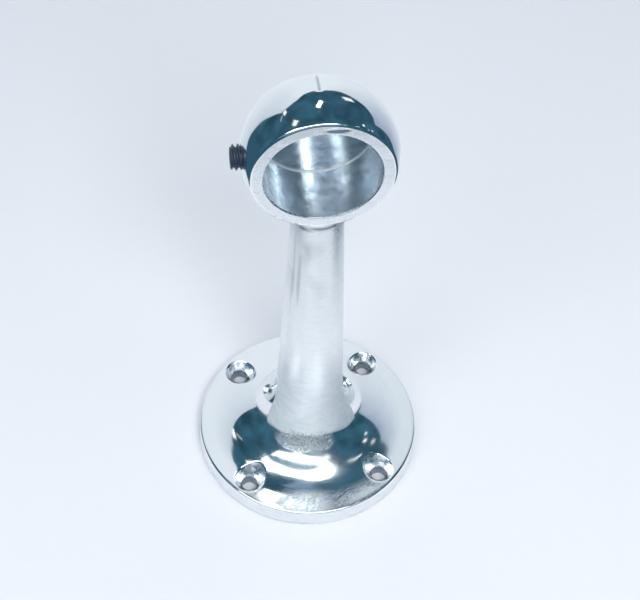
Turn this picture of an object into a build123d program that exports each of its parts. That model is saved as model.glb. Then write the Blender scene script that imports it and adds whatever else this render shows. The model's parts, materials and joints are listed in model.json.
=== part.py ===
from build123d import *

import os
from math import radians, tan

# Pole end bracket: a one-piece cast and polished bracket that carries the end of a round
# pole in a blind bore, and the socket grub screw that pins the pole there.
# Millimetres. The origin is the middle of the wall face and +Z runs along the stem, away
# from the wall. The bore opens towards -Y and the grub screw enters from -X.

# Base: a round flange, slightly coned, that sweeps up into the stem
base_diameter = 63.5
base_edge_height = 5.7
base_side_draft = 2.0  # degrees
base_edge_chamfer = 0.5
base_foot_chamfer = 0.3
flange_rise = 4.5  # degrees, towards the stem
sweep_on_flange = 14.3  # how far the foot sweep reaches out along the flange
sweep_on_stem = 14.3  # and up along the stem
sweep_fullness = 0.552  # share of the reach that holds each tangent, here a round sweep

# Countersunk wall screw holes
screw_edge_margin = 5.35  # hole centre to the base's edge
screw_hole_count = 4
screw_hole_start = 45.0  # degrees from +X
screw_hole_diameter = 4.5
countersink_diameter = 8.5  # where it meets the flange
countersink_angle = 82.0

# Stem: a plain taper
stem_foot_diameter = 20.2
stem_neck_diameter = 13.0

# Head: a ball cut flat around the bore's mouth, with a closed and slightly domed back
bore_height = 118.4  # wall face to bore axis
mouth_reach = 6.85  # stem axis to the front face of the head
head_diameter = 38.2
head_depth = 22.3
ball_place = 7.9  # front face to the ball's centre, its widest point
back_dome_radius = 47.0
back_corner_radius = 7.8
mouth_edge_chamfer = 0.4

# Blind bore for the pole
bore_diameter = 28.5
bore_depth = 15.0
bore_floor_chamfer = 0.6
bore_mouth_chamfer = 0.3

# Socket grub screw
grub_diameter = 6.35
grub_length = 6.35
grub_place = 8.0  # front face to the screw's axis
grub_stand_out = 2.3  # beyond the widest point of the head
grub_clearance = 0.05  # radial, in its hole
grub_socket_width = 3.175  # across flats
grub_socket_depth = 3.0
grub_end_chamfer = 0.6
grub_cup_diameter = 3.2
grub_cup_angle = 118.0

base_radius = base_diameter / 2
head_radius = head_diameter / 2
bore_radius = bore_diameter / 2
grub_radius = grub_diameter / 2
rim_top_radius = base_radius - base_edge_height * tan(radians(base_side_draft))


def flange_height(radius):
    return base_edge_height + (rim_top_radius - radius) * tan(radians(flange_rise))


def corner_at(sketch, x, y):
    return sketch.vertices().sort_by_distance((x, y, 0))[0]


# The stem runs up into the middle of the head's wall
stem_foot = Vector(stem_foot_diameter / 2, flange_height(stem_foot_diameter / 2))
stem_neck = Vector(stem_neck_diameter / 2, bore_height - (head_radius + bore_radius) / 2)
rim_top = Vector(rim_top_radius, base_edge_height)
sweep_start = stem_foot + (rim_top - stem_foot).normalized() * sweep_on_flange
sweep_end = stem_foot + (stem_neck - stem_foot).normalized() * sweep_on_stem
sweep_low_tangent = sweep_start + (stem_foot - sweep_start) * sweep_fullness
sweep_high_tangent = sweep_end + (stem_foot - sweep_end) * sweep_fullness

# The cutter starts above the highest side of each mouth, so that its cone runs out in the flange
screw_circle_radius = base_radius - screw_edge_margin
seat_height = flange_height(screw_circle_radius - countersink_diameter)
seat_radius = countersink_diameter / 2 + (seat_height - flange_height(screw_circle_radius)) * tan(
    radians(countersink_angle / 2)
)

# Local x of the head's plane is depth from the front face, and local y is distance from the bore axis
head_plane = Plane(origin=(0, -mouth_reach, bore_height), x_dir=(0, 1, 0), z_dir=(1, 0, 0))
bore_axis = Axis(head_plane.origin, head_plane.x_dir)
mouth_plane = Plane(origin=head_plane.origin, z_dir=-head_plane.x_dir)

# The screw's plane has its origin at the outer end of the screw and looks along -X
grub_outer_end = head_radius + grub_stand_out
grub_end = (-grub_outer_end, grub_place - mouth_reach, bore_height)
grub_plane = Plane(origin=grub_end, x_dir=(0, -1, 0), z_dir=(-1, 0, 0))
grub_profile_plane = Plane(origin=grub_end, x_dir=(1, 0, 0), z_dir=(0, -1, 0))
grub_cup_radius = grub_cup_diameter / 2
grub_cup_depth = grub_cup_radius / tan(radians(grub_cup_angle / 2))

with BuildPart() as bracket:
    # Base, foot sweep and stem in one turn
    with BuildSketch(Plane.XZ) as base_and_stem:
        with BuildLine():
            Polyline(sweep_start, rim_top, (base_radius, 0), (0, 0), (0, stem_neck.Y), stem_neck, sweep_end)
            Bezier(sweep_end, sweep_high_tangent, sweep_low_tangent, sweep_start)
        make_face()
        chamfer(corner_at(base_and_stem, rim_top.X, rim_top.Y), base_edge_chamfer)
        chamfer(corner_at(base_and_stem, base_radius, 0), base_foot_chamfer)
    revolve(axis=Axis.Z)

    # Head in one turn about the bore axis: the ball, the flat front and the domed back
    with BuildSketch(head_plane) as head_profile:
        with Locations((ball_place, 0)):
            Circle(head_radius)
        with Locations((head_depth - back_dome_radius, 0)):
            Circle(back_dome_radius, mode=Mode.INTERSECT)
        Rectangle(head_depth, head_diameter, align=Align.MIN, mode=Mode.INTERSECT)
        fillet(corner_at(head_profile, head_depth, head_radius), back_corner_radius)
        chamfer(corner_at(head_profile, 0, head_radius), mouth_edge_chamfer)
    revolve(axis=bore_axis)

    # Blind bore, with the tool's bevel at its floor and a broken edge at its mouth
    with Locations(mouth_plane):
        Hole(bore_radius, depth=bore_depth)
    bore_rings = bracket.edges().filter_by(GeomType.CIRCLE)
    bore_rings = bore_rings.filter_by(lambda ring: abs(ring.radius - bore_radius) < 0.01).sort_by(Axis.Y)
    chamfer(bore_rings[-1], bore_floor_chamfer)
    chamfer(bore_rings[0], bore_mouth_chamfer)

    # Tapped hole for the grub screw, through the near wall of the head
    with Locations(grub_plane):
        Hole(grub_radius + grub_clearance, depth=grub_outer_end)

    # Countersunk wall screw holes
    with Locations(Plane.XY.offset(seat_height)):
        with PolarLocations(screw_circle_radius, screw_hole_count, start_angle=screw_hole_start):
            CounterSinkHole(
                screw_hole_diameter / 2,
                seat_radius,
                depth=2 * seat_height,
                counter_sink_angle=countersink_angle,
            )

with BuildPart() as set_screw:
    # One turned profile, with chamfered ends and a cup point drilled in the inner end
    with BuildSketch(grub_profile_plane):
        with BuildLine():
            Polyline(
                (0, 0),
                (0, grub_radius - grub_end_chamfer),
                (grub_end_chamfer, grub_radius),
                (grub_length - grub_end_chamfer, grub_radius),
                (grub_length, grub_radius - grub_end_chamfer),
                (grub_length, grub_cup_radius),
                (grub_length - grub_cup_depth, 0),
                close=True,
            )
        make_face()
    revolve(axis=Axis(grub_profile_plane.origin, grub_profile_plane.x_dir))
    # Hex socket in the outer end
    with BuildSketch(grub_plane):
        RegularPolygon(grub_socket_width / 2, 6, major_radius=False)
    extrude(amount=-grub_socket_depth, mode=Mode.SUBTRACT)

bracket.part.label = "bracket"
set_screw.part.label = "set_screw"
os.makedirs("parts", exist_ok=True)
for piece in (bracket.part, set_screw.part):
    export_step(piece, f"parts/{piece.label}.step")
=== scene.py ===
import json
from math import cos, radians, sin, tan

import bmesh
import bpy
import numpy as np
from mathutils import Matrix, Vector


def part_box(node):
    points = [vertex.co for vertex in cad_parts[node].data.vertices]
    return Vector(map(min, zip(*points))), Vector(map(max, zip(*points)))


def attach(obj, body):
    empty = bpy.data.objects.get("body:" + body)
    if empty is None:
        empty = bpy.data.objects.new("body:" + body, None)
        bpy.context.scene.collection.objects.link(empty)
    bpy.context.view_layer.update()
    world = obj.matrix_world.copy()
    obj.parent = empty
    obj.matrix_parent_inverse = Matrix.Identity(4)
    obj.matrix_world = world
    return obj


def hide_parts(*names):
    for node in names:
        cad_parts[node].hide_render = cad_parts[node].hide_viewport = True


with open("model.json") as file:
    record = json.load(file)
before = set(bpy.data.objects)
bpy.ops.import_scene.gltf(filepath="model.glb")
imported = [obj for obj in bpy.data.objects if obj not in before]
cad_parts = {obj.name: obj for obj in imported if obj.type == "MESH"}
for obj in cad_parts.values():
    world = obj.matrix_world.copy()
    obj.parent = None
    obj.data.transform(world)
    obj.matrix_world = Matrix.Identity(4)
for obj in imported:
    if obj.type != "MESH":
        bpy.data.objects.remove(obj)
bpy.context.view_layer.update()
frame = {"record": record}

mounts = {mount["name"]: mount for mount in frame["record"]["mounts"]}
scene = bpy.context.scene
scene.view_settings.view_transform = "Standard"
mm = 0.001


# Shells: points and faces gathered as whole arrays, then made one mesh

def newShell():
    return {"points": [], "marks": [], "quads": [], "triangles": [], "count": 0}


def addGrid(shell, xyz, finish):
    # Points of a grid, each with its finish number; gives back the grid of point numbers
    xyz = np.asarray(xyz, float)
    shape = xyz.shape[:-1]
    numbers = shell["count"] + np.arange(int(np.prod(shape))).reshape(shape)
    shell["points"].append(xyz.reshape(-1, 3))
    shell["marks"].append(np.broadcast_to(np.asarray(finish, float), shape).reshape(-1))
    shell["count"] += numbers.size
    return numbers


def joinRings(shell, numbers, windows=()):
    # Quads between each ring of a grid and the next, closed round, left open in the windows
    keep = np.ones((numbers.shape[0] - 1, numbers.shape[1]), bool)
    for rows, columns in windows:
        low, high = min(rows), max(rows)
        keep[low:high, np.arange(columns[0], columns[1]) % numbers.shape[1]] = False
    nextColumn = np.roll(numbers, -1, axis=1)
    quads = np.stack([numbers[:-1], nextColumn[:-1], nextColumn[1:], numbers[1:]], -1)
    shell["quads"].append(quads[keep])


def closePole(shell, ring, xyz, finish):
    # A fan from one ring to a single middle point
    middle = addGrid(shell, np.reshape(xyz, (1, 3)), finish)[0]
    fan = np.stack([ring, np.roll(ring, -1), np.full(ring.shape, middle)], -1)
    shell["triangles"].append(fan)


def windowLoop(numbers, rows, columns):
    # Point numbers round a window: along its first row, across, back along its last row, and home
    first, last = rows
    step = 1 if last > first else -1
    span = np.arange(columns[0], columns[1] + 1) % numbers.shape[1]
    down = np.arange(first, last + step, step)
    sides = [numbers[first, span[:-1]], numbers[down[:-1], span[-1]]]
    sides += [numbers[last, span[::-1][:-1]], numbers[down[::-1][:-1], span[0]]]
    return np.concatenate(sides)


def pointsOf(shell, numbers):
    return np.concatenate(shell["points"])[numbers]


def joinTube(shell, startLoop, endLoop, rings, finish):
    # New rings between two loops that the shell already has, joined in turn
    inner = addGrid(shell, rings, finish)
    joinRings(shell, np.concatenate([startLoop[None], inner, endLoop[None]]))


def shellMesh(name, shell):
    # Drops points that no face uses and turns faces outwards; gives back the finish of each point and face
    points = np.concatenate(shell["points"])
    marks = np.concatenate(shell["marks"])
    quads = np.concatenate(shell["quads"])
    triangles = np.concatenate(shell["triangles"])
    used, fresh = np.unique(np.concatenate([quads.ravel(), triangles.ravel()]), return_inverse=True)
    quads, triangles = fresh[:quads.size].reshape(-1, 4), fresh[quads.size:].reshape(-1, 3)
    mesh = bpy.data.meshes.new(name)
    mesh.from_pydata(points[used] * mm, [], quads.tolist() + triangles.tolist())
    work = bmesh.new()
    work.from_mesh(mesh)
    bmesh.ops.recalc_face_normals(work, faces=work.faces)
    work.to_mesh(mesh)
    work.free()
    mesh.polygons.foreach_set("use_smooth", np.ones(len(mesh.polygons), bool))
    marks = marks[used]
    faceMarks = np.concatenate([marks[quads].min(1), marks[triangles].min(1)])
    piece = bpy.data.objects.new(name, mesh)
    scene.collection.objects.link(piece)
    print(name, "points", len(mesh.vertices), "faces", len(mesh.polygons))
    return piece, marks, faceMarks


def meshValues(items, name):
    # One vector for each vertex, as rows
    values = np.empty(len(items) * 3)
    items.foreach_get(name, values)
    return values.reshape(-1, 3)


def storeValues(mesh, name, values):
    store = mesh.attributes.new(name, "FLOAT", "POINT")
    store.data.foreach_set("value", values.astype(np.float32))


# Measures and curves

def lerp(start, end, share):
    # The straight way from start to end, gone by a share
    return start + (end - start) * share


def unit(vector):
    return vector / np.linalg.norm(vector)


def fade(value, start, end):
    # Smooth step from 0 at start to 1 at end
    share = np.clip((value - start) / (end - start), 0, 1)
    return share * share * (3 - 2 * share)


def band(value, start, full, ease, gone):
    # Fades in from start to full, and out again from ease to gone
    return fade(value, start, full) * fade(value, gone, ease)


def bell(value, middle, width):
    # Bell curve, 1 in the middle
    return np.exp(-(((value - middle) / width) ** 2))


def roundCorner(before, corner, after, count):
    # A quadratic curve from before to after that leans towards the corner
    before, corner, after = (np.asarray(point, float) for point in (before, corner, after))
    share = np.linspace(0, 1, count)[(slice(None),) + (None,) * corner.ndim]
    return (1 - share) ** 2 * before + 2 * share * (1 - share) * corner + share**2 * after


def steps(start, *legs):
    # Even steps from start to the end of each leg in turn, given as ends and counts
    values = [np.array([start], float)]
    for end, count in legs:
        values.append(np.linspace(values[-1][-1], end, count + 1)[1:])
    return np.concatenate(values)


def rowsOf(first, second):
    # Profile rows from two measures, of which one may stay the same
    return np.stack(np.broadcast_arrays(first, second), -1)


def joinParts(*parts):
    # Stretches of a skin, each with its finish, as one run of rows and their finish numbers
    rows = np.concatenate([stretch for stretch, finish in parts])
    marks = [np.full(len(stretch), skinFinish[finish]) for stretch, finish in parts]
    return rows, np.concatenate(marks)[:, None]


def aboutStem(radius, angle, height):
    # Points at a radius and an angle about the stem axis
    return np.stack(np.broadcast_arrays(radius * np.cos(angle), radius * np.sin(angle), height), -1)


def aboutBore(depth, radius, turn):
    # Points at a depth and a radius, turned about the bore axis from straight down
    x, z = radius * np.sin(turn), boreHeight - radius * np.cos(turn)
    return np.stack(np.broadcast_arrays(x, depth - mouthReach, z), -1)


# The casting: base, stem and head in one skin

cast = {
    "columns": 216, "rowGap": 0.05,  # rows stay this far from the ends of a round
    "baseRadius": 31.72, "edgeHeight": 5.7, "sideDraft": 2.0, "edgeRound": 0.85, "footChamfer": 0.3,
    "flangeRise": 1.2, "sweepOnFlange": 17.6, "sweepOnStem": 19.0, "sweepFullness": 0.552, "sweepRows": 46,
    "sideShares": (0.02, 0.1, 0.25, 0.4, 0.55, 0.7, 0.85, 0.97), "footShares": (0, 0.08, 0.5, 0.92, 1),
    "underRows": 8, "underPole": 2.0,
    "stemFootRadius": 10.1, "stemNeckRadius": 6.5, "stemRows": 44, "stemCrowding": 1.25, "stemEase": 0.8,
    "ballRadius": 19.1, "ballPlace": 7.9, "headDepth": 22.3, "domeRadius": 47.0, "cornerRadius": 7.8,
    "mouthReach": 6.85, "rimEdgeRound": 0.5, "rimRows": 10, "edgeRows": 8, "edgeDepth": 0.62, "backRows": 29,
    "boreDepth": 15.0, "boreMouthRound": 0.35, "boreFloorRound": 0.6, "floorRows": 9, "floorPole": 1.6,
    "neckColumns": 40, "neckBackDepth": 16.6, "neckFillet": 0.7, "domeEnd": 0.004,
}
mouthReach = cast["mouthReach"]
boreRadius = mounts["pole_socket"]["dims"]["r_mm"]
boreHeight = mounts["pole_socket"]["pos_m"][2] / mm
layShares = np.array([0.2, 0.4, 0.58, 0.74, 0.88, 1.0])[:, None]  # rings from a window's edge to its hole

wallHole = {
    "angles": (45, 135, 225, 315), "mouthRadius": 4.25, "coneAngle": 82.0, "lip": 0.2, "kink": 0.12,
    "footBreak": 0.15, "seatLow": 3.5, "windowInner": 20.3, "windowOuter": 30.9, "windowRows": 24,
    "windowColumns": 8, "coneShares": (0.03, 0.35, 0.7, 0.94), "underShares": (0.04, 0.3, 0.65),
}
wallHole["circle"] = mounts["wall_screws"]["dims"]["pcd_mm"] / 2
wallHole["radius"] = mounts["wall_screws"]["dims"]["hole_r_mm"]

grubHole = {
    "place": 8.0, "radius": 3.225, "lip": 0.15, "boreReach": 4.2, "rowsBelow": 6, "rowsAbove": 8,
    "windowRows": 36, "windowColumns": 9,
}

skinFinish = {"polished": 0, "stem": 1, "bore": 2, "rim": 3, "hole": 4, "side": 5, "under": 6}

rimTopRadius = cast["baseRadius"] - cast["edgeHeight"] * tan(radians(cast["sideDraft"]))


def flangeHeight(radius):
    # A flat cone: the edge's height and the rise over the way in from the rim
    return cast["edgeHeight"] + (rimTopRadius - radius) * tan(radians(cast["flangeRise"]))


# Foot sweep: a cubic curve between the flange line and the stem line
stemFoot = np.array([cast["stemFootRadius"], flangeHeight(cast["stemFootRadius"])])
stemNeck = np.array([cast["stemNeckRadius"], boreHeight - (cast["ballRadius"] + boreRadius) / 2])
rimTop = np.array([rimTopRadius, cast["edgeHeight"]])
sweepStart = stemFoot + unit(rimTop - stemFoot) * cast["sweepOnFlange"]
sweepEnd = stemFoot + unit(stemNeck - stemFoot) * cast["sweepOnStem"]


def sweepCurve(share):
    share, fullness = np.asarray(share)[:, None], cast["sweepFullness"]
    low, high = lerp(sweepStart, stemFoot, fullness), lerp(sweepEnd, stemFoot, fullness)
    ends = (1 - share) ** 3 * sweepStart + share**3 * sweepEnd
    return ends + 3 * (1 - share) ** 2 * share * low + 3 * (1 - share) * share**2 * high


fineSweep = sweepCurve(np.linspace(0, 1, 2001))


def topHeight(radius):
    # Height of the flange and of the lower sweep over any radius
    swept = np.interp(radius, fineSweep[::-1, 0], fineSweep[::-1, 1])
    return np.where(radius < sweepStart[0], swept, flangeHeight(radius))


def stemRadius(height):
    # A straight taper from the sweep to the neck
    return np.interp(height, [sweepEnd[1], stemNeck[1]], [sweepEnd[0], stemNeck[0]])


def profileArc(centre, radius, start, end, count):
    turn = np.linspace(start, end, count)
    return np.array(centre) + radius * np.stack([np.cos(turn), np.sin(turn)], -1)


# Head profile outside, from the rim's edge over the ball, the corner and the dome: depth and radius
def headOutside():
    ball, place, depth = cast["ballRadius"], cast["ballPlace"], cast["headDepth"]
    dome, corner, edge = cast["domeRadius"], cast["cornerRadius"], cast["rimEdgeRound"]
    domeCentre = depth - dome
    # The corner's centre lies one corner radius inside both the ball and the dome
    inBall, inDome = ball - corner, dome - corner
    cornerDepth = (inBall**2 - inDome**2 + domeCentre**2 - place**2) / (2 * (domeCentre - place))
    cornerRise = np.sqrt(inBall**2 - (cornerDepth - place) ** 2)
    ballEnd = np.arctan2(cornerRise, cornerDepth - place)
    domeStart = np.arctan2(cornerRise, cornerDepth - domeCentre)
    frontRadius = np.sqrt(ball**2 - place**2)
    ballStart = np.arctan2(frontRadius, -place) - edge / ball
    ballArc = profileArc((place, 0), ball, ballStart, ballEnd, 1200)
    cornerArc = profileArc((cornerDepth, cornerRise), corner, ballEnd, domeStart, 600)
    domeArc = profileArc((domeCentre, 0), dome, domeStart, cast["domeEnd"], 400)
    edgeArc = roundCorner((0, frontRadius - edge), (0, frontRadius), ballArc[0], 60)
    return np.concatenate([edgeArc[:-1], ballArc, cornerArc[1:], domeArc[1:]])


outside = headOutside()
outsideLength = np.concatenate([[0], np.cumsum(np.linalg.norm(np.diff(outside, axis=0), axis=1))])


def headRadius(depth):
    return np.interp(depth, outside[:, 0], outside[:, 1])


def lengthAtDepth(depth):
    return np.interp(depth, outside[:, 0], outsideLength)


def outsideAt(length):
    # Depth and radius at a length along the head's profile
    return [np.interp(length, outsideLength, measure) for measure in outside.T]


def makeHead(shell):
    # One profile about the bore axis: over the bore's floor, up its wall, over the rim and round to the back
    columns, depth, near = cast["columns"], cast["boreDepth"], cast["rowGap"]
    floor, mouth, rim = cast["boreFloorRound"], cast["boreMouthRound"], outside[0, 1]
    angles = -np.pi + 2 * np.pi * np.arange(columns) / columns
    floorRows = rowsOf(depth, np.linspace(cast["floorPole"], boreRadius - floor - near, cast["floorRows"]))
    floorEdge, wallEdge = (depth, boreRadius - floor), (depth - floor, boreRadius)
    floorCorner = roundCorner(floorEdge, (depth, boreRadius), wallEdge, 7)
    windowTop = grubHole["place"] + grubHole["boreReach"]
    windowEnd = grubHole["place"] - grubHole["boreReach"]
    wallRows = rowsOf(steps(
        depth - floor - near, (windowTop, grubHole["rowsBelow"]), (windowEnd, grubHole["windowRows"]),
        (mouth + near, grubHole["rowsAbove"]),
    ), boreRadius)
    mouthCorner = roundCorner((mouth, boreRadius), (0, boreRadius), (0, boreRadius + mouth), 6)
    rimRows = rowsOf(0.0, np.linspace(boreRadius + mouth + near, rim - near, cast["rimRows"]))
    # Outside rows: the edge, even steps over the ball as far as the neck window, then the corner and the dome
    neckRows, edgeRows = columns // 2 - cast["neckColumns"], cast["edgeRows"]
    edgeLength, neckEnd = lengthAtDepth(cast["edgeDepth"]), lengthAtDepth(cast["neckBackDepth"])
    backLeg = (outsideLength[-1], cast["backRows"])
    outRows = rowsOf(*outsideAt(steps(0, (edgeLength, edgeRows), (neckEnd, neckRows - edgeRows), backLeg)))
    profile, marks = joinParts(
        (floorRows, "bore"), (floorCorner, "bore"), (wallRows, "bore"), (mouthCorner, "rim"),
        (rimRows, "rim"), (outRows, "polished"),
    )
    numbers = addGrid(shell, aboutBore(profile[:, :1], profile[:, 1:], angles), marks)
    # Windows: the neck at the bottom, the grub screw's hole at -X inside and outside
    firstOut = len(profile) - len(outRows)
    middle, side, neckHalf = columns // 2, columns // 4, cast["neckColumns"] // 2
    neck = ((firstOut, firstOut + neckRows), (middle - neckHalf, middle + neckHalf))
    half, reach = grubHole["windowRows"] // 2, grubHole["windowColumns"]
    span = (side - reach, side + reach)
    placeRow = firstOut + np.argmin(np.abs(outRows[:, 0] - grubHole["place"]))
    outer = ((placeRow - half, placeRow + half), span)
    innerTop = len(floorRows) + len(floorCorner) + grubHole["rowsBelow"]
    inner = ((innerTop + 2 * half, innerTop), span)
    joinRings(shell, numbers, (neck, outer, inner))
    closePole(shell, numbers[0], (0, depth - mouthReach, boreHeight), skinFinish["bore"])
    closePole(shell, numbers[-1], (0, cast["headDepth"] - mouthReach, boreHeight), skinFinish["polished"])
    print("head rows", len(profile))
    return numbers, neck, outer, inner


def makeGrubHole(shell, numbers, outer, inner):
    # Flat rings about the screw's axis, laid on the ball, taken through the wall and laid on the bore
    outerLoop, innerLoop = windowLoop(numbers, *outer), windowLoop(numbers, *inner)
    axis = np.array([grubHole["place"] - mouthReach, boreHeight])
    radius, lip = grubHole["radius"], grubHole["lip"]

    def onBall(y, z):
        return -np.sqrt(headRadius(y + mouthReach) ** 2 - (z - boreHeight) ** 2)

    def onBore(y, z):
        return -np.sqrt(boreRadius**2 - (z - boreHeight) ** 2)

    def laidRings(loop, surface, inwards):
        # From the window's edge to the hole's lip, and over the lip
        away = (pointsOf(shell, loop)[:, 1:] - axis).T
        reach = np.linalg.norm(away, axis=0)

        def laid(distance, deeper=0.0):
            y, z = axis[0] + distance * away[0] / reach, axis[1] + distance * away[1] / reach
            return np.stack([surface(y, z) + deeper, y, z], -1)

        rings = laid(lerp(reach, radius + lip, layShares))
        return rings, roundCorner(rings[-1], laid(radius), laid(radius, inwards), 5)

    outerRings, outerLip = laidRings(outerLoop, onBall, lip)
    innerRings, innerLip = laidRings(innerLoop, onBore, -lip)
    wall = lerp(outerLip[-1], innerLip[-1], np.linspace(0, 1, 9)[1:-1, None, None])
    joinTube(shell, outerLoop, innerLoop, *joinParts(
        (outerRings, "polished"), (outerLip[1:], "hole"), (wall, "hole"), (innerLip[:0:-1], "hole"),
        (innerRings[::-1], "bore"),
    ))


def makeNeck(shell, numbers, neck, stemAngles):
    # The stem meets the head in a tight crease. Each point of the window's edge looks at the stem axis,
    # and the rings between them run in the head's own two measures, length and turn
    loop = windowLoop(numbers, *neck)
    edge = pointsOf(shell, loop)
    azimuth = np.arctan2(edge[:, 1], edge[:, 0])
    height = np.full(azimuth.shape, stemNeck[1])
    for _ in range(30):
        radius = stemRadius(height)
        x, y = radius * np.cos(azimuth), radius * np.sin(azimuth)
        height = boreHeight - np.sqrt(headRadius(y + mouthReach) ** 2 - x**2)
    crease = np.stack([x, y, height], -1)
    creaseLength = lengthAtDepth(y + mouthReach)
    creaseTurn = np.arctan2(x, boreHeight - height)
    edgeDepth = edge[:, 1] + mouthReach
    edgeLength = np.where(edgeDepth < 1e-6, 0, lengthAtDepth(edgeDepth))
    edgeTurn = np.arctan2(edge[:, 0], boreHeight - edge[:, 2])
    gap = np.linalg.norm(edge - crease, axis=1)
    near = np.clip(cast["neckFillet"] / gap, 0, 0.55)
    shares = lerp(1.0, near, layShares)
    lengths, turns = lerp(creaseLength, edgeLength, shares), lerp(creaseTurn, edgeTurn, shares)
    rings = aboutBore(*outsideAt(lengths), turns)
    below = height - np.minimum(cast["neckFillet"], gap)
    fillet = roundCorner(rings[-1], crease, aboutStem(stemRadius(below), azimuth, below), 8)
    # Stem rows: from the crease down to the sweep, with the columns easing to even steps
    share = np.linspace(0, 1, cast["stemRows"] + 1)[1:, None] ** cast["stemCrowding"]
    rowHeight = lerp(below, sweepEnd[1], share)
    difference = (stemAngles - azimuth + np.pi) % (2 * np.pi) - np.pi
    rowAzimuth = azimuth + difference * fade(share, 0, cast["stemEase"])
    stem = aboutStem(stemRadius(rowHeight), rowAzimuth, rowHeight)
    inner = addGrid(shell, *joinParts((rings, "polished"), (fillet[1:], "stem"), (stem, "stem")))
    joinRings(shell, np.concatenate([loop[None], inner]))
    return inner[-1]


def makeBase(shell, stemRing, stemAngles):
    # One profile about the stem axis: down the sweep, over the flange and its rim, and in under the foot
    inside, rows = wallHole["windowInner"], wallHole["windowRows"]
    windowRadii = np.linspace(inside, wallHole["windowOuter"], rows + 1)
    # Sweep rows from the stem down to the holes' window
    startShare = np.interp(inside, fineSweep[::-1, 0], np.linspace(1, 0, len(fineSweep)))
    sweepRows = sweepCurve(np.linspace(1, startShare, cast["sweepRows"] + 1)[1:-1])
    flangeRows = rowsOf(windowRadii, topHeight(windowRadii))
    # The rim's round starts at the flange's last row and runs out down the side
    foot, chamfer = np.array([cast["baseRadius"], 0.0]), cast["footChamfer"]
    side = unit(foot - rimTop)
    rimRound = roundCorner(flangeRows[-1], rimTop, rimTop + side * cast["edgeRound"], 8)
    footHigh, footLow = foot - side * chamfer, foot - np.array([chamfer, 0])
    sideRows = lerp(rimRound[-1], footHigh, np.array(cast["sideShares"])[:, None])
    footRows = lerp(footHigh, footLow, np.array(cast["footShares"])[:, None])
    underRows = rowsOf(windowRadii[::-1], 0.0)
    innerRows = rowsOf(steps(inside, (cast["underPole"], cast["underRows"]))[1:], 0.0)
    profile, marks = joinParts(
        (sweepRows, "polished"), (flangeRows, "polished"), (rimRound[1:], "polished"), (sideRows, "side"),
        (footRows, "side"), (underRows, "under"), (innerRows, "under"),
    )
    turned = addGrid(shell, aboutStem(profile[:, :1], stemAngles, profile[:, 1:]), marks)
    numbers = np.concatenate([stemRing[None], turned])
    topRow, underRow = len(sweepRows) + 1, len(profile) - len(innerRows)
    holes = []
    for angle in np.radians(wallHole["angles"]):
        middle = int(np.argmin(np.abs((stemAngles - angle + np.pi) % (2 * np.pi) - np.pi)))
        span = (middle - wallHole["windowColumns"], middle + wallHole["windowColumns"])
        holes.append((angle, ((topRow, topRow + rows), span), ((underRow, underRow - rows), span)))
    joinRings(shell, numbers, [window for angle, *pair in holes for window in pair])
    closePole(shell, numbers[-1], (0, 0, 0), skinFinish["under"])
    for angle, top, under in holes:
        makeWallHole(shell, angle, windowLoop(numbers, *top), windowLoop(numbers, *under))
    print("base rows", len(profile))


def makeWallHole(shell, angle, topLoop, underLoop):
    # Rings about the hole's axis: laid on the flange, over the lip, down the cone and the bore,
    # and out on the wall face
    centre = wallHole["circle"] * np.array([cos(angle), sin(angle)])
    away = pointsOf(shell, topLoop)[:, :2] - centre
    reach = np.linalg.norm(away, axis=1)
    direction = away / reach[:, None]
    slope = tan(radians(wallHole["coneAngle"] / 2))
    middleHeight = topHeight(np.array(wallHole["circle"]))
    lip, hole, broken, kink = (wallHole[key] for key in ("lip", "radius", "footBreak", "kink"))

    def laid(distance):
        plan = centre + distance[..., None] * direction
        return np.concatenate([plan, topHeight(np.linalg.norm(plan, axis=-1))[..., None]], -1)

    def ring(distance, height):
        distance, height = (np.broadcast_to(value, reach.shape)[:, None] for value in (distance, height))
        return np.concatenate([centre + distance * direction, height], -1)

    # Where the cone leaves the flange, which rises towards the stem
    mouth = np.full(reach.shape, wallHole["mouthRadius"])
    for _ in range(12):
        mouth = wallHole["mouthRadius"] + (laid(mouth)[:, 2] - middleHeight) * slope
    flange, corner = laid(lerp(reach, mouth + lip, layShares)), laid(mouth)
    coneTop = ring(mouth - lip, corner[:, 2] - lip / slope)
    lipRings = roundCorner(flange[-1], corner, coneTop, 6)
    coneFoot = ring(hole, middleHeight - (wallHole["mouthRadius"] - hole) / slope)
    cone = lerp(coneTop, coneFoot, np.array(wallHole["coneShares"])[:, None, None])
    boreTop, boreFoot = coneFoot - np.array([0, 0, kink]), ring(hole, broken)
    kinkRings = roundCorner(cone[-1], coneFoot, boreTop, 4)
    bore = lerp(boreTop, boreFoot, np.array([0.05, 0.5, 0.95])[:, None, None])
    brokenRings = roundCorner(boreFoot, ring(hole, 0.0), ring(hole + broken, 0.0), 4)
    underShares = np.array(wallHole["underShares"])[:, None, None]
    under = lerp(brokenRings[-1], pointsOf(shell, underLoop), underShares)
    joinTube(shell, topLoop, underLoop, *joinParts(
        (flange, "polished"), (lipRings[1:], "polished"), (cone, "hole"), (kinkRings[1:], "hole"),
        (bore, "hole"), (brokenRings, "hole"), (under, "under"),
    ))


def makeCasting():
    shell = newShell()
    columns = cast["columns"]
    # Stem columns are even steps, with the middle of the neck window's front row at -Y
    stemAngles = -np.pi / 2 + 2 * np.pi * (np.arange(columns) - cast["neckColumns"] / 2) / columns
    numbers, neck, outer, inner = makeHead(shell)
    makeGrubHole(shell, numbers, outer, inner)
    stemRing = makeNeck(shell, numbers, neck, stemAngles)
    makeBase(shell, stemRing, stemAngles)
    return shellMesh("castBracket", shell)


bracketPiece, bracketPoints, bracketFaces = makeCasting()
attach(bracketPiece, "casting")
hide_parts("bracket")


# The grub screw: a true right-hand thread with chamfered ends, a hex socket and a cup point

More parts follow.
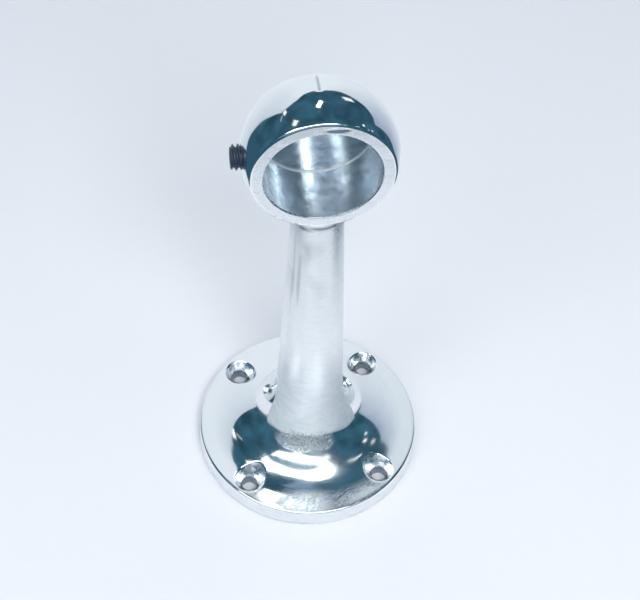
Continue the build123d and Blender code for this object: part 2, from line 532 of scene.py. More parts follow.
screw = {
    "columns": 96, "threadRows": 150, "radius": 3.175, "length": 6.35, "pitch": 1.27, "threadDepth": 0.74,
    "crestFlat": 0.16, "rootFlat": 0.2, "endChamfer": 0.6, "socketWidth": 3.175, "socketDepth": 3.0,
    "socketBreak": 0.1, "socketFloorDrop": 0.35, "cupRadius": 1.6, "cupAngle": 118.0, "crestWear": 0.12,
}


def threadRadius(x, angle):
    # Sixty degree thread: flat crest, straight flank and flat root, repeating once each pitch and turn
    phase = np.abs((x / screw["pitch"] - angle / (2 * np.pi)) % 1 - 0.5) * 2
    crest, root = screw["crestFlat"], 1 - screw["rootFlat"]
    drop = np.clip((phase - crest) / (root - crest), 0, 1)
    return screw["radius"] - screw["threadDepth"] * drop


def makeGrubScrew():
    # Rows of place and radius: out of the socket, over the end face, along the thread and into the cup
    low, high = np.array(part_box("set_screw")) / mm
    outerEnd, (axisY, axisZ) = low[0], (low[1:] + high[1:]) / 2
    angles = 2 * np.pi * np.arange(screw["columns"]) / screw["columns"]
    hexRing = screw["socketWidth"] / 2 / np.cos(angles % (np.pi / 3) - np.pi / 6)
    length, depth, drop = screw["length"], screw["socketDepth"], screw["socketFloorDrop"]
    broken, cup = screw["socketBreak"], screw["cupRadius"]
    cupDepth = cup / tan(radians(screw["cupAngle"] / 2))
    # The thread is cut off by a chamfer at each end
    along = np.linspace(0, length, screw["threadRows"])[:, None]
    endLimit = screw["radius"] - screw["endChamfer"] + np.minimum(along, length - along)
    body = np.minimum(threadRadius(along, angles), endLimit)
    # Socket: a drilled floor, six walls and a broken edge
    rows = [(depth + drop * 0.6, hexRing * 0.4), (depth, hexRing * 0.985), (depth - 0.02, hexRing)]
    rows += [(depth * share, hexRing) for share in (0.7, 0.4, 0.15)]
    rows += [(broken, hexRing), (broken * 0.93, hexRing + broken * 0.07)]
    rows += [(0.0, lerp(hexRing + broken, body[0], share)) for share in (0, 0.05, 0.5, 0.95)]
    rows += zip(along[:, 0], body)
    # Cup point, drilled into the inner end
    rows += [(length, lerp(body[-1], cup, 0.5)), (length, cup + 0.05), (length - 0.03, cup - 0.02)]
    rows += [(length - cupDepth * 0.5, cup * 0.5)]
    x, radius = (np.stack([np.broadcast_to(row[side], angles.shape) for row in rows]) for side in (0, 1))
    grid = np.stack([outerEnd + x, axisY + radius * np.cos(angles), axisZ + radius * np.sin(angles)], -1)
    shell = newShell()
    crest = np.clip(1 - (screw["radius"] - radius) / screw["crestWear"], 0, 1)
    numbers = addGrid(shell, grid, crest)
    joinRings(shell, numbers)
    closePole(shell, numbers[0], (outerEnd + depth + drop, axisY, axisZ), 0)
    closePole(shell, numbers[-1], (outerEnd + length - cupDepth, axisY, axisZ), 0)
    piece, crest, _ = shellMesh("threadedGrubScrew", shell)
    storeValues(piece.data, "crest", crest)
    return piece


screwPiece = makeGrubScrew()
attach(screwPiece, "grub_screw")
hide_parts("set_screw")


# Hand finish: what casting and polishing left, as small moves of the skin inwards, as haze and as grime, with
# painted shade in the neck's crease and along the seam

handFinish = {
    "headWave": 0.08, "headWaveLength": 11.0, "baseWave": 0.025, "baseWaveLength": 15.0,
    "stemWave": 0.03, "stemWaveLength": 20.0, "stemWaveFrom": (10, 30), "neckRadius": 7.8, "grubRadius": 3.6,
    "mouthCalm": (0.7, 4), "rimCalm": (30.8, 28.3), "neckCalm": (97, 89), "holeMargin": 0.5,
    "seamX": -0.65, "seamReach": (2.2, 3.2, 8.5, 10.5), "seamWidth": 0.4, "seamDepth": 0.1,
    "dentPlace": (2.9, 133.9), "dentHalf": (2.7, 0.6), "dentDepth": 0.22,
    "nickPlace": (2.2, -31.6, 1.4), "nickRadius": 0.7, "nickDepth": 0.2,
    # Patches: turn from the front in degrees, radius or height in mm, where they fade in and out
    "frontRadius": (23, 26), "scouredTurn": (-26, -8, -6, 12), "pittedTurn": (-8, 10, 38, 52),
    "brushedTurn": (-64, -24, 18, 52), "brushedRadius": (13, 15, 22, 25),
    "poreTurn": (-62, -24, 8, 34), "poreHeight": (11.2, 13.2, 15.2, 17.4),
    "scoreTurn": (-66, -58, -36, -28), "scoreHeight": (42, 58, 93, 99), "smudgeHeight": (66, 84),
    "linishedHeight": (24, 52), "creaseTurn": (-62, -42, 28, 44), "creaseWidth": 0.55,
    "creaseLine": [(-60, 97.9), (-52, 98.2), (-9, 99.4), (32, 99.5), (45, 99.3)],
    "hazeFoot": [(-180, 17), (-130, 17), (-108, 19), (-98, 32), (-88, 30), (-84, 22), (-79, 17), (-74, 14.4),
                 (-68, 13.6), (-50, 14.4), (-20, 15.7), (20, 15.4), (50, 13.6), (68, 13.0), (74, 14.0),
                 (79, 17), (84, 24), (90, 32), (98, 32), (108, 19), (130, 17), (180, 17)],
}


def waves(points, length, seed):
    # Twelve plane waves of about one length in seeded directions, added and held between -1 and 1
    pick = np.random.default_rng(seed)
    direction = pick.normal(size=(12, 3))
    direction /= np.linalg.norm(direction, axis=1)[:, None]
    turns = 2 * np.pi / (length * pick.uniform(0.75, 1.4, 12))
    phase = pick.uniform(0, 2 * np.pi, 12)
    return np.tanh(np.sin(points @ (direction * turns[:, None]).T + phase).sum(1) / 3)


def finishCasting(piece, marks):
    finish, mesh = handFinish, piece.data
    points, normals = meshValues(mesh.vertices, "co") / mm, meshValues(mesh.vertex_normals, "vector")
    x, y, z = points.T
    radius, depth = np.hypot(x, y), y + mouthReach
    turn = np.degrees(np.arctan2(x, -y))  # 0 at the front, growing to the right
    polished, stem = marks == skinFinish["polished"], marks == skinFinish["stem"]
    onHead = polished & (z > boreHeight / 2)
    onBase = (polished & ~onHead) | stem
    # Waves die out towards every edge, so that the edges stay true
    neckGap = np.where(z < boreHeight, radius - finish["neckRadius"], 10)
    grubGap = np.where(x < 0, np.hypot(depth - grubHole["place"], z - boreHeight) - finish["grubRadius"], 10)
    centres = aboutStem(wallHole["circle"], np.radians(wallHole["angles"]), 0)[:, :2]
    holeGap = np.linalg.norm(points[:, None, :2] - centres, axis=2).min(1)
    holeGap -= wallHole["mouthRadius"] + finish["holeMargin"]
    headCalm = fade(depth, *finish["mouthCalm"]) * fade(neckGap, 0, 3) * fade(grubGap, 0, 2.5)
    baseCalm = fade(radius, *finish["rimCalm"]) * fade(holeGap, 0, 2) * fade(z, *finish["neckCalm"])
    upStem = fade(z, *finish["stemWaveFrom"])
    flangeWave = waves(points, finish["baseWaveLength"], 3)
    stemWave = waves(points, finish["stemWaveLength"], 4)
    baseWave = lerp(flangeWave, stemWave, upStem)
    baseDepth = lerp(finish["baseWave"], finish["stemWave"], upStem)
    headWave = waves(points, finish["headWaveLength"], 8)
    offset = np.where(onHead, -finish["headWave"] * headCalm * (1 + headWave), 0)
    offset = np.where(onBase, -baseDepth * baseCalm * (1 + baseWave), offset)
    # A nick in the side, the parting seam over the top of the head, and a flat dent in the rim
    nickGap = np.linalg.norm(points - finish["nickPlace"], axis=1)
    offset -= (marks == skinFinish["side"]) * finish["nickDepth"] * bell(nickGap, 0, finish["nickRadius"])
    alongSeam = band(y, *finish["seamReach"]) * (z > boreHeight)
    offset -= onHead * finish["seamDepth"] * alongSeam * bell(x, finish["seamX"], finish["seamWidth"])
    (dentX, dentZ), (halfX, halfZ) = finish["dentPlace"], finish["dentHalf"]
    inDent = 1 - ((x - dentX) / halfX) ** 2 - ((z - dentZ) / halfZ) ** 2
    offset -= (marks == skinFinish["rim"]) * finish["dentDepth"] * np.sqrt(np.clip(inDent, 0, 1))
    mesh.vertices.foreach_set("co", ((points + normals * offset[:, None]) * mm).ravel())
    mesh.update()
    # Haze: linished stem, running out in the sweep, and patches of the flange that were only scoured
    hazeFoot = np.interp(turn, *np.array(finish["hazeFoot"]).T)
    streaks = waves(points * (1, 1, 0.1), 4.0, 11)
    stemHaze = lerp(1.25, 0.62 + 0.05 * streaks, fade(z, *finish["linishedHeight"]))
    stemHaze *= fade(z, hazeFoot - 0.5, hazeFoot + 0.7)
    atFront = fade(radius, *finish["frontRadius"])
    scoured, pitted = (atFront * band(turn, *finish[name]) for name in ("scouredTurn", "pittedTurn"))
    brushed = band(turn, *finish["brushedTurn"]) * band(radius, *finish["brushedRadius"])
    flangeHaze = 0.07 + 0.05 * waves(points, 9.0, 12) + 0.2 * scoured + 0.05 * pitted + 0.15 * brushed
    headHaze = 0.05 + 0.04 * waves(points, 8.0, 13)
    haze = np.where(onHead, headHaze, np.maximum(stemHaze, flangeHaze))
    pores = band(turn, *finish["poreTurn"]) * band(z, *finish["poreHeight"])
    pores = onBase * np.maximum(pores, 0.3 * scoured + 0.12 * pitted)
    # Grime and painted shade: long scores and smudges on the stem are grime; the dark line in the neck's
    # crease and along the seam is painted shade
    scores = fade(waves(points * (1, 1, 0.02), 1.6, 21), 0.35, 0.9)
    scores *= band(turn, *finish["scoreTurn"]) * band(z, *finish["scoreHeight"])
    smudges = fade(waves(points * (1, 1, 0.4), 6.0, 22), 0.2, 0.9) * fade(z, *finish["smudgeHeight"])
    smudges += bell(turn, -27, 11) * bell(z, 90.5, 4.5) * (1.2 + waves(points, 2.0, 23))
    smudges += 0.7 * bell(turn, 38, 9) * bell(z, 88, 4.5)
    # Painted shade: a dark line along the neck's crease, just under the head
    creaseGap = z - np.interp(turn, *np.array(finish["creaseLine"]).T)
    crease = bell(creaseGap, 0, finish["creaseWidth"]) * band(turn, *finish["creaseTurn"])
    grime = stem * (0.3 * scores + 0.16 * smudges + 0.95 * crease)
    # Painted shade in the seam's groove over the top of the head
    grime += onHead * 0.6 * alongSeam * (np.abs(x - finish["seamX"]) < finish["seamWidth"] * 0.8)
    for name, values in (("haze", haze), ("pores", pores), ("grime", grime)):
        storeValues(mesh, name, values)
    print("hand finish, deepest", round(float(-offset.min()), 3), "highest", round(float(offset.max()), 3))


mapLength = 30.0  # of the bore's profile for one step of u


def mapBore(piece):
    # Turning map: u runs along the bore's profile, out over its floor and up its wall, and v round its axis
    mesh = piece.data
    x, y, z = meshValues(mesh.vertices, "co").T / mm
    depth, reach = y + mouthReach, np.hypot(x, z - boreHeight)
    along = np.minimum(reach, boreRadius) + cast["boreDepth"] - depth
    around = np.arctan2(x, z - boreHeight) / (2 * np.pi) + 0.5
    corners = np.empty(len(mesh.loops), int)
    mesh.loops.foreach_get("vertex_index", corners)
    starts = np.empty(len(mesh.polygons), int)
    mesh.polygons.foreach_get("loop_start", starts)
    v = around[corners]
    spread = np.maximum.reduceat(v, starts) - np.minimum.reduceat(v, starts)
    counts = np.diff(np.append(starts, len(corners)))
    v = np.where(np.repeat(spread > 0.5, counts) & (v < 0.5), v + 1, v)
    layer = mesh.uv_layers.new(name="turning")
    layer.data.foreach_set("uv", np.stack([along[corners] / mapLength, v], -1).ravel())


finishCasting(bracketPiece, bracketPoints)
mapBore(bracketPiece)


# Materials

def newMaterial(name):
    material = bpy.data.materials.new(name)
    material.use_nodes = True
    tree = material.node_tree
    tree.nodes.clear()
    output = tree.nodes.new("ShaderNodeOutputMaterial")
    shader = tree.nodes.new("ShaderNodeBsdfPrincipled")
    tree.links.new(shader.outputs["BSDF"], output.inputs["Surface"])
    return material, tree, shader


def addNode(tree, kind, inputs=(), **settings):
    # A node with its settings, and its inputs by number: a socket is linked, anything else is a value
    made = tree.nodes.new("ShaderNode" + kind)
    for key, value in settings.items():
        setattr(made, key, value)
    for number, value in dict(inputs).items():
        if isinstance(value, bpy.types.NodeSocket):
            tree.links.new(value, made.inputs[number])
        else:
            made.inputs[number].default_value = value
    return made


def sums(operation, *values):
    # A sum in the node tree of its first linked value
    tree = next(value for value in values if isinstance(value, bpy.types.NodeSocket)).id_data
    return addNode(tree, "Math", enumerate(values), operation=operation).outputs[0]


def rerange(value, fromLow, fromHigh, toLow, toHigh):
    ends = enumerate((value, fromLow, fromHigh, toLow, toHigh))
    return addNode(value.id_data, "MapRange", ends, clamp=True).outputs[0]


def blendColour(share, first, second):
    return addNode(share.id_data, "Mix", {0: share, 6: first, 7: second}, data_type="RGBA").outputs[2]


def grain(vector, scale, detail=3.0, stretch=(1, 1, 1), turned=(0, 0, 0)):
    # Noise, drawn out along an axis where stretch is small
    mapped = addNode(vector.id_data, "Mapping", {0: vector, 2: turned, 3: stretch}).outputs[0]
    noise = {"Vector": mapped, "Scale": scale, "Detail": detail}
    return addNode(vector.id_data, "TexNoise", noise).outputs[0]


def raised(height, strength, distance, under=None):
    inputs = {"Strength": strength, "Distance": distance, "Height": height}
    if under is not None:
        inputs["Normal"] = under
    return addNode(height.id_data, "Bump", inputs).outputs[0]


def unevenRough(strokes, low, high, cloud, more, cloudFrom=0.35, cloudTo=0.7):
    # Roughness from low to high with the strokes, and up to more on top with the clouds
    return sums("ADD", rerange(strokes, 0.3, 0.7, low, high), rerange(cloud, cloudFrom, cloudTo, 0.0, more))


def metalBase(name):
    material, tree, shader = newMaterial(name)
    shader.inputs["Metallic"].default_value = 1.0
    place = addNode(tree, "TexCoord").outputs["Object"]
    return material, tree, shader, place


def feed(tree, shader, colour, roughness, normal):
    for name, socket in (("Base Color", colour), ("Roughness", roughness), ("Normal", normal)):
        tree.links.new(socket, shader.inputs[name])


metal = {
    "bright": (0.89, 0.91, 0.92, 1), "dull": (0.78, 0.81, 0.84, 1), "grime": (0.16, 0.19, 0.22, 1),
    "turned": (0.86, 0.90, 0.93, 1), "turnedDull": (0.66, 0.72, 0.77, 1), "raw": (0.16, 0.22, 0.28, 1),
    "stained": (0.34, 0.41, 0.47, 1),
}


def polishedSkin():
    # Mirror polish with faint haze, linished where the haze is strong, open pores in one patch of the sweep
    material, tree, shader, place = metalBase("handPolishedCasting")
    haze, pores, grime = (
        addNode(tree, "Attribute", attribute_name=name).outputs["Fac"] for name in ("haze", "pores", "grime")
    )
    cloud, fine = grain(place, 75), grain(place, 1500, 4.0)
    strokes = grain(place, 1100, 4.0, (0.3, 0.3, 1), (0.12, 0.08, 0))
    slanted = grain(place, 700, 3.0, (1, 0.06, 1), (0.3, 0.5, 0.7))
    pocks = grain(place, 2600, 5.0, (1, 1, 0.3))
    pitted = sums("MULTIPLY", rerange(pocks, 0.5, 0.62, 0.0, 1.0), pores)
    rough = sums("MULTIPLY_ADD", haze, rerange(fine, 0.3, 0.7, 0.36, 0.5), 0.035)
    rough = sums("ADD", rough, rerange(cloud, 0.35, 0.7, 0.0, 0.05))
    rough = sums("MULTIPLY_ADD", pores, 0.2, rough)
    dulled = sums("MULTIPLY", haze, rerange(strokes, 0.4, 0.62, 0.0, 0.5))
    colour = blendColour(dulled, metal["bright"], metal["dull"])
    # Pores and grime darken the colour; in the neck's crease and along the seam this darkening is painted
    # shade
    soiledAndShaded = sums("MULTIPLY_ADD", pitted, 0.7, grime)
    colour = blendColour(soiledAndShaded, colour, metal["grime"])
    lines = raised(strokes, sums("MULTIPLY", haze, 0.1), 0.00004)
    lines = raised(slanted, sums("MULTIPLY_ADD", haze, -0.04, 0.06), 0.00004, lines)
    lines = raised(fine, sums("MULTIPLY_ADD", haze, 0.06, 0.02), 0.00003, lines)
    lines = raised(sums("MULTIPLY", pitted, -1.0), 0.8, 0.00015, lines)
    feed(tree, shader, colour, rough, lines)
    return material


def turnedBore():
    # Turned and left dull: fine rings, uneven with open grain, the shine drawn out across them
    material, tree, shader, place = metalBase("turnedBore")
    shader.inputs["Anisotropic"].default_value = 0.7
    shader.inputs["Metallic"].default_value = 0.91
    tangent = addNode(tree, "Tangent", direction_type="UV_MAP", uv_map="turning").outputs[0]
    tree.links.new(tangent, shader.inputs["Tangent"])
    ringPlace = addNode(tree, "UVMap", uv_map="turning").outputs[0]
    rings = grain(ringPlace, 160, 3.0, (1, 0.03, 1))
    cloud, fine = grain(place, 260, 4.0), grain(place, 1500, 3.0)
    rough = unevenRough(rings, 0.09, 0.16, cloud, 0.1, 0.35, 0.65)
    colour = blendColour(cloud, metal["turnedDull"], metal["turned"])
    stain = rerange(grain(place, 330, 6.0, (1, 1, 1.6)), 0.5, 0.64, 0.0, 0.45)
    specks = rerange(grain(ringPlace, 420, 4.0, (1, 0.25, 1)), 0.5, 0.68, 0.0, 0.35)
    colour = blendColour(sums("MAXIMUM", stain, specks), colour, metal["stained"])
    # Where the wall meets the floor: a rougher line, lightened in colour as a painted highlight
    along = addNode(tree, "SeparateXYZ", {0: ringPlace}).outputs[0]
    cornerGap = sums("ABSOLUTE", sums("SUBTRACT", along, boreRadius / mapLength))
    cornerHighlight = rerange(cornerGap, 0.3 / mapLength, 0.55 / mapLength, 1.0, 0.0)
    rough = sums("MULTIPLY_ADD", cornerHighlight, 0.3, rough)
    colour = blendColour(cornerHighlight, colour, metal["bright"])
    uneven = raised(cloud, 0.45, 0.0003)
    uneven = raised(rings, 0.4, 0.0001, uneven)
    feed(tree, shader, colour, rough, raised(fine, 0.25, 0.00004, uneven))
    return material


# Plain strokes: scale, detail, stretch and turn of their grain, roughness and bump; scale, start, roughness
# and bump of the clouds; and which of the two shades the metal
strokedFinish = {
    "sandedRim": {"strokes": (500, 4.0, (0.08, 1, 1), (0, 0.4, 0)), "rough": (0.18, 0.28),
                  "bump": (0.2, 0.00006), "cloud": 1600, "cloudFrom": 0.3, "cloudRough": 0.06,
                  "cloudBump": (0.15, 0.00003), "shadedBy": "strokes"},
    "buffedSide": {"strokes": (900, 4.0, (0.05, 0.05, 1)), "rough": (0.2, 0.32), "bump": (0.2, 0.00006),
                   "cloud": 120, "cloudFrom": 0.35, "cloudRough": 0.1, "shadedBy": "cloud"},
    "groundFoot": {"strokes": (900, 4.0, (0.03, 1, 1), (0, 0, 0.35)), "rough": (0.26, 0.4),
                   "bump": (0.35, 0.00008), "cloud": 90, "cloudFrom": 0.35, "cloudRough": 0.12,
                   "shadedBy": "strokes"},
}


def strokedMetal(name):
    finish = strokedFinish[name]
    material, tree, shader, place = metalBase(name)
    strokes, cloud = grain(place, *finish["strokes"]), grain(place, finish["cloud"])
    rough = unevenRough(strokes, *finish["rough"], cloud, finish["cloudRough"], finish["cloudFrom"])
    shade = strokes if finish["shadedBy"] == "strokes" else cloud
    lines = raised(strokes, *finish["bump"])
    if "cloudBump" in finish:
        lines = raised(cloud, *finish["cloudBump"], lines)
    feed(tree, shader, blendColour(shade, metal["dull"], metal["bright"]), rough, lines)
    return material


def drilledHole():
    material, tree, shader, place = metalBase("drilledHole")
    rings = grain(place, 1100, 3.0, (0.08, 0.08, 1))
    cloud = grain(place, 700, 4.0)
    rough = unevenRough(rings, 0.17, 0.3, cloud, 0.1, 0.4)
    colour = blendColour(cloud, metal["dull"], metal["bright"])
    # Below the countersinks the drilled wall is darkened with painted shade
    height = addNode(tree, "SeparateXYZ", {0: place}).outputs[2]
    seat = wallHole["seatLow"] * mm
    colour = blendColour(rerange(height, seat - 0.0003, seat, 0.85, 0.0), colour, metal["raw"])
    uneven = raised(cloud, 0.4, 0.0002)
    feed(tree, shader, colour, rough, raised(rings, 0.4, 0.0001, uneven))
    return material


oxide = {"black": (0.038, 0.058, 0.092, 1), "worn": (0.16, 0.19, 0.24, 1)}


def blackOxide():
    # Oiled black oxide, rubbed through a little along the crests
    material, tree, shader, place = metalBase("blackOxide")
    shader.inputs["Metallic"].default_value = 0.25
    crest = addNode(tree, "Attribute", attribute_name="crest").outputs["Fac"]
    fine, cloud = grain(place, 2200, 4.0), grain(place, 600)
    rubbed = sums("MULTIPLY", crest, rerange(cloud, 0.45, 0.7, 0.0, 0.8))
    colour = blendColour(rubbed, oxide["black"], oxide["worn"])
    rough = unevenRough(fine, 0.26, 0.42, cloud, 0.1, 0.3)
    feed(tree, shader, colour, rough, raised(fine, 0.2, 0.00003))
    return material


finishMaterial = {
    "polished": polishedSkin(), "bore": turnedBore(), "rim": strokedMetal("sandedRim"),
    "hole": drilledHole(), "side": strokedMetal("buffedSide"), "under": strokedMetal("groundFoot"),
}
slotOf = np.zeros(len(skinFinish), int)
for slot, (name, material) in enumerate(finishMaterial.items()):
    bracketPiece.data.materials.append(material)
    slotOf[skinFinish[name]] = slot
bracketPiece.data.polygons.foreach_set("material_index", slotOf[bracketFaces.astype(int)].astype(np.int32))
screwPiece.data.materials.append(blackOxide())
print("materials", len(bpy.data.materials))


# Camera, from the view fitted to the photograph

view = {
    "azimuth": -8.65, "elevation": 52.14, "roll": 3.09,
    "place": (-36.14, -248.85, 386.60), "focalPixels": 1550.7, "frameWidth": 640, "sensor": 36.0,
}


def makeCamera():
    azimuth, elevation, roll = (radians(view[key]) for key in ("azimuth", "elevation", "roll"))
    data = bpy.data.cameras.new("photoCamera")
    data.sensor_width = view["sensor"]
    data.lens = view["focalPixels"] * view["sensor"] / view["frameWidth"]
    data.clip_start = 0.01
    camera = bpy.data.objects.new("photoCamera", data)
    # Rolled about the line of sight, tipped up from straight down, and turned about the stem
    turned = Matrix.Rotation(azimuth, 4, "Z") @ Matrix.Rotation(radians(90) - elevation, 4, "X")
    place = Matrix.Translation([value * mm for value in view["place"]])
    camera.matrix_world = place @ turned @ Matrix.Rotation(roll, 4, "Z")
    scene.collection.objects.link(camera)
    scene.camera = camera


makeCamera()


# Stage: a floor of white paper and a glowing card standing behind it, seen only in the metal, in a dim
# blue-green room with a few lamps

stage = {
    "floorReach": 1500.0, "floorDrop": 0.05, "paperColour": (0.85, 0.85, 0.89, 1), "paperEdge": 6.0,
    "paperLeft": -104.2, "paperRight": 95.1, "paperFront": -165.0, "paperFrontEdge": 30.0,
    "cardAway": 78.9, "cardTurn": 9.7, "cardEnd": 141.5,
    "cardTop": [(-146, 232), (-95, 228), (-65, 220), (-40, 202), (-15, 190), (15, 186), (50, 182), (85, 173),
                (142, 168)],
    "cardGlow": (0.82, 0.89, 0.95, 1), "cardEndGlow": (0.36, 0.44, 0.57, 1),
    "room": (0.031, 0.098, 0.148, 1), "roomVaries": 0.35, "lampHeight": 500.0,
    "lampGlow": 6.4, "lampCentre": (-130.0, -380.0), "lampLoop": [
        (-304, -41), (-450, -130), (-575, -420), (-288, -735), (150, -615), (226, -362), (185, -216),
        (124, -154), (39, -149), (-96, -177), (-204, -105), (-242, -39)],
    "flagHeight": 400.0, "flagGlow": 1.6, "flagCentre": (-160.0, -265.0), "flagLoop": [
        (-283, -112), (-375, -112), (-400, -250), (-177, -396), (80, -400), (104, -285),
        (-60, -222), (-210, -182)],
    "boreFlagHeight": 140.0, "boreFlagGlow": 1.0, "boreFlagCentre": (-8.0, -30.0), "boreFlagLoop": [
        (9, -9), (4, -50), (-16, -70), (-26, -11)],
    "lampTint": (0.93, 0.98, 1.0, 1), "boreFlagTint": (0.2, 0.3, 0.42, 1),
}
stage["flagTint"] = stage["room"]
# Small lamps on the ceiling: middle, half sizes, turn in degrees, glow
smallLamps = {
    "leftBar": ((-245, 80), (26, 45), -35, 1.2), "rightBar": ((419, -122), (20, 80), -20, 1.2),
    "nearBar": ((304, -581), (30, 60), 0, 3.0), "farSpot": ((1029, 125), (40, 40), 0, 1.6),
    "midSpot": ((771, 14), (40, 40), 0, 1.6), "innerSpot": ((571, 114), (30, 30), 0, 1.2),
    "backLeft": ((-371, 308), (30, 50), 20, 1.2), "backMiddle": ((5, 204), (18, 48), -24, 3.3),
    "backRight": ((313, 361), (90, 35), 25, 1.2), "leftStreak": ((-460, 263), (16, 50), -35, 0.5),
}
frontStrip = {"away": -600.0, "left": -250.0, "right": 150.0, "low": 95.0, "high": 130.0, "glow": 1.4}


def stageSheet(name, grid, material):
    # A grid of points as one open sheet
    rows, columns = grid.shape[:2]
    numbers = np.arange(rows * columns).reshape(rows, columns)
    low, high = numbers[:-1], numbers[1:]
    quads = np.stack([low[:, :-1], low[:, 1:], high[:, 1:], high[:, :-1]], -1).reshape(-1, 4)
    mesh = bpy.data.meshes.new(name)
    mesh.from_pydata((grid.reshape(-1, 3) * mm).tolist(), [], quads.tolist())
    mesh.materials.append(material)
    sheet = bpy.data.objects.new(name, mesh)
    scene.collection.objects.link(sheet)
    return sheet


def glowMaterial(name, colour, strength):
    material, tree, shader = newMaterial(name)
    glow = addNode(tree, "Emission", {"Color": colour, "Strength": strength}).outputs[0]
    tree.links.new(glow, tree.nodes["Material Output"].inputs["Surface"])
    return material


def onlyReflected(sheet):
    # Seen by the metal alone
    sheet.visible_camera = sheet.visible_diffuse = sheet.visible_shadow = False


def paperMaterial():
    # Pale all over to the eye; in reflections the paper ends and the dim room begins
    material, tree, shader = newMaterial("paper")
    place = addNode(tree, "TexCoord").outputs["Object"]
    fibre = grain(place, 260, 4.0)
    shade = tuple(channel * 0.985 for channel in stage["paperColour"][:3]) + (1,)
    tree.links.new(blendColour(fibre, shade, stage["paperColour"]), shader.inputs["Base Color"])
    shader.inputs["Roughness"].default_value = 0.9
    shader.inputs["Specular IOR Level"].default_value = 0.1
    split = addNode(tree, "SeparateXYZ", {0: place}).outputs
    soft, softFront = stage["paperEdge"] * mm, stage["paperFrontEdge"] * mm
    left, right, front = (stage[key] * mm for key in ("paperLeft", "paperRight", "paperFront"))
    onPaper = sums("MULTIPLY", rerange(split[0], left, left + soft, 0, 1),
                   rerange(split[0], right - soft, right, 1, 0))
    onPaper = sums("MULTIPLY", onPaper, rerange(split[1], front, front + softFront, 0, 1))
    inMetal = addNode(tree, "LightPath").outputs["Is Glossy Ray"]
    room = addNode(tree, "Emission", {"Color": stage["room"]}).outputs[0]
    share = sums("MULTIPLY", inMetal, sums("SUBTRACT", 1.0, onPaper))
    mixed = addNode(tree, "MixShader", {0: share, 1: shader.outputs[0], 2: room}).outputs[0]
    tree.links.new(mixed, tree.nodes["Material Output"].inputs["Surface"])
    return material


def backdropMaterial():
    # Brightest in the middle, dimmer and bluer towards both ends
    material = glowMaterial("backdropPaper", stage["cardGlow"], 1.0)
    tree = material.node_tree
    place = addNode(tree, "TexCoord").outputs["Object"]
    across = addNode(tree, "SeparateXYZ", {0: place}).outputs[0]
    across = sums("ADD", across, rerange(grain(place, 22), 0.3, 0.7, -0.012, 0.012))
    reach = stage["cardEnd"] * mm
    end = rerange(across, 0.02, reach, 0.0, 1.0)
    end = sums("ADD", end, rerange(across, -reach, -0.02, 0.55, 0.0))
    colour = blendColour(end, stage["cardGlow"], stage["cardEndGlow"])
    tree.links.new(colour, tree.nodes["Emission"].inputs["Color"])
    return material


def flatGrid(corners):
    return np.array(corners, float).reshape(2, 2, 3)


def makePaper():
    reach, low = stage["floorReach"], -stage["floorDrop"]
    corners = [(-reach, -reach, low), (reach, -reach, low), (-reach, reach, low), (reach, reach, low)]
    stageSheet("floor", flatGrid(corners), paperMaterial())
    turn = radians(stage["cardTurn"])
    across, away = np.array([cos(turn), -sin(turn), 0]), np.array([sin(turn), cos(turn), 0])
    along, top = np.array(stage["cardTop"], float).T
    foot = away * stage["cardAway"] + along[:, None] * across
    card = np.stack([foot, foot + top[:, None] * np.array([0, 0, 1])])
    onlyReflected(stageSheet("backdrop", card, backdropMaterial()))


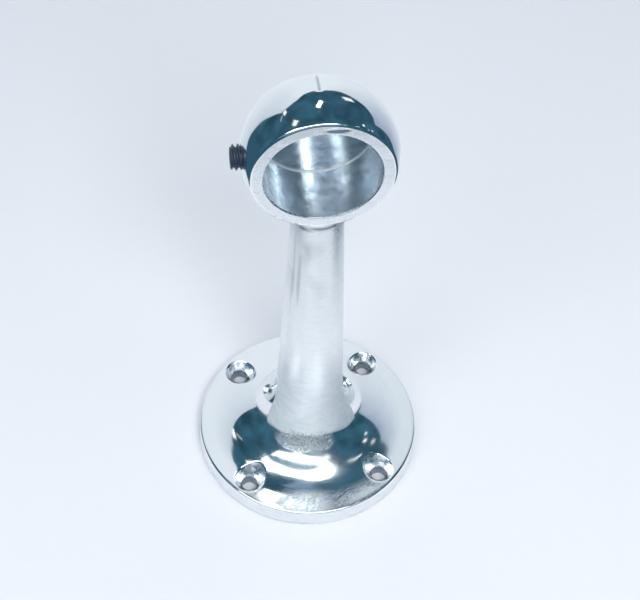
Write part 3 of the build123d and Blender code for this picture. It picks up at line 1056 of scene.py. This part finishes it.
def makeLamps():
    white, height = stage["lampTint"], stage["lampHeight"]
    # The big lamp, a dim flag below it and another by the mouth of the bore
    for name in ("lamp", "flag", "boreFlag"):
        loop = np.array(stage[name + "Loop"] + stage[name + "Loop"][:1], float)
        loops = np.stack([np.broadcast_to(np.array(stage[name + "Centre"]), loop.shape), loop])
        sheet = np.concatenate([loops, np.full(loops.shape[:2] + (1,), stage[name + "Height"])], -1)
        glow = glowMaterial(name + "Glow", stage[name + "Tint"], stage[name + "Glow"])
        onlyReflected(stageSheet(name, sheet, glow))
    for name, (middle, half, turn, glow) in smallLamps.items():
        turn = radians(turn)
        across = np.array([cos(turn), sin(turn), 0]) * half[0]
        along = np.array([-sin(turn), cos(turn), 0]) * half[1]
        centre = np.array([*middle, height])
        corners = [centre + end * along + side * across for end in (-1, 1) for side in (-1, 1)]
        onlyReflected(stageSheet(name, flatGrid(corners), glowMaterial(name + "Glow", white, glow)))
    strip = frontStrip
    ends, heights = (strip["left"], strip["right"]), (strip["low"], strip["high"])
    corners = [(x, strip["away"], z) for z in heights for x in ends]
    glow = glowMaterial("frontGlow", white, strip["glow"])
    onlyReflected(stageSheet("frontStrip", flatGrid(corners), glow))


# Soft lamps: place, width and power, all turned to one target
softLamps = {
    "keyLamp": ((0.07, -0.5, 0.64), 0.32, 3.2), "sideLamp": ((-0.42, -0.4, 0.55), 0.4, 1.3),
    "topLamp": ((0.1, 0.15, 0.9), 0.9, 5.2),
}
lampTarget = (0, 0, 0.03)


def areaLamp(name, place, target, width, power):
    # A soft square lamp that the metal doesn't mirror
    data = bpy.data.lights.new(name, "AREA")
    data.size = width
    data.energy = power
    lamp = bpy.data.objects.new(name, data)
    back = unit(np.array(place) - np.array(target))
    right = unit(np.cross((0, 1, 0), back))
    pose = np.eye(4)
    pose[:3] = np.stack([right, np.cross(back, right), back, place], -1)
    lamp.matrix_world = Matrix(pose.tolist())
    lamp.visible_glossy = False
    scene.collection.objects.link(lamp)


def makeRoom():
    # Pale to the eye, dim and slightly uneven in the metal
    world = bpy.data.worlds.new("room")
    scene.world = world
    world.use_nodes = True
    tree = world.node_tree
    background = tree.nodes["Background"]
    toEye = addNode(tree, "LightPath").outputs["Is Camera Ray"]
    look = addNode(tree, "TexCoord").outputs["Generated"]
    varies = stage["roomVaries"]
    level = rerange(grain(look, 2.5, 2.0), 0.35, 0.65, 1 - varies, 1 + varies)
    dim = addNode(tree, "VectorMath", {0: stage["room"][:3], "Scale": level}, operation="SCALE").outputs[0]
    tree.links.new(blendColour(toEye, dim, stage["paperColour"]), background.inputs["Color"])


makePaper()
makeLamps()
for name, (place, width, power) in softLamps.items():
    areaLamp(name, place, lampTarget, width, power)
makeRoom()
print("stage ready")
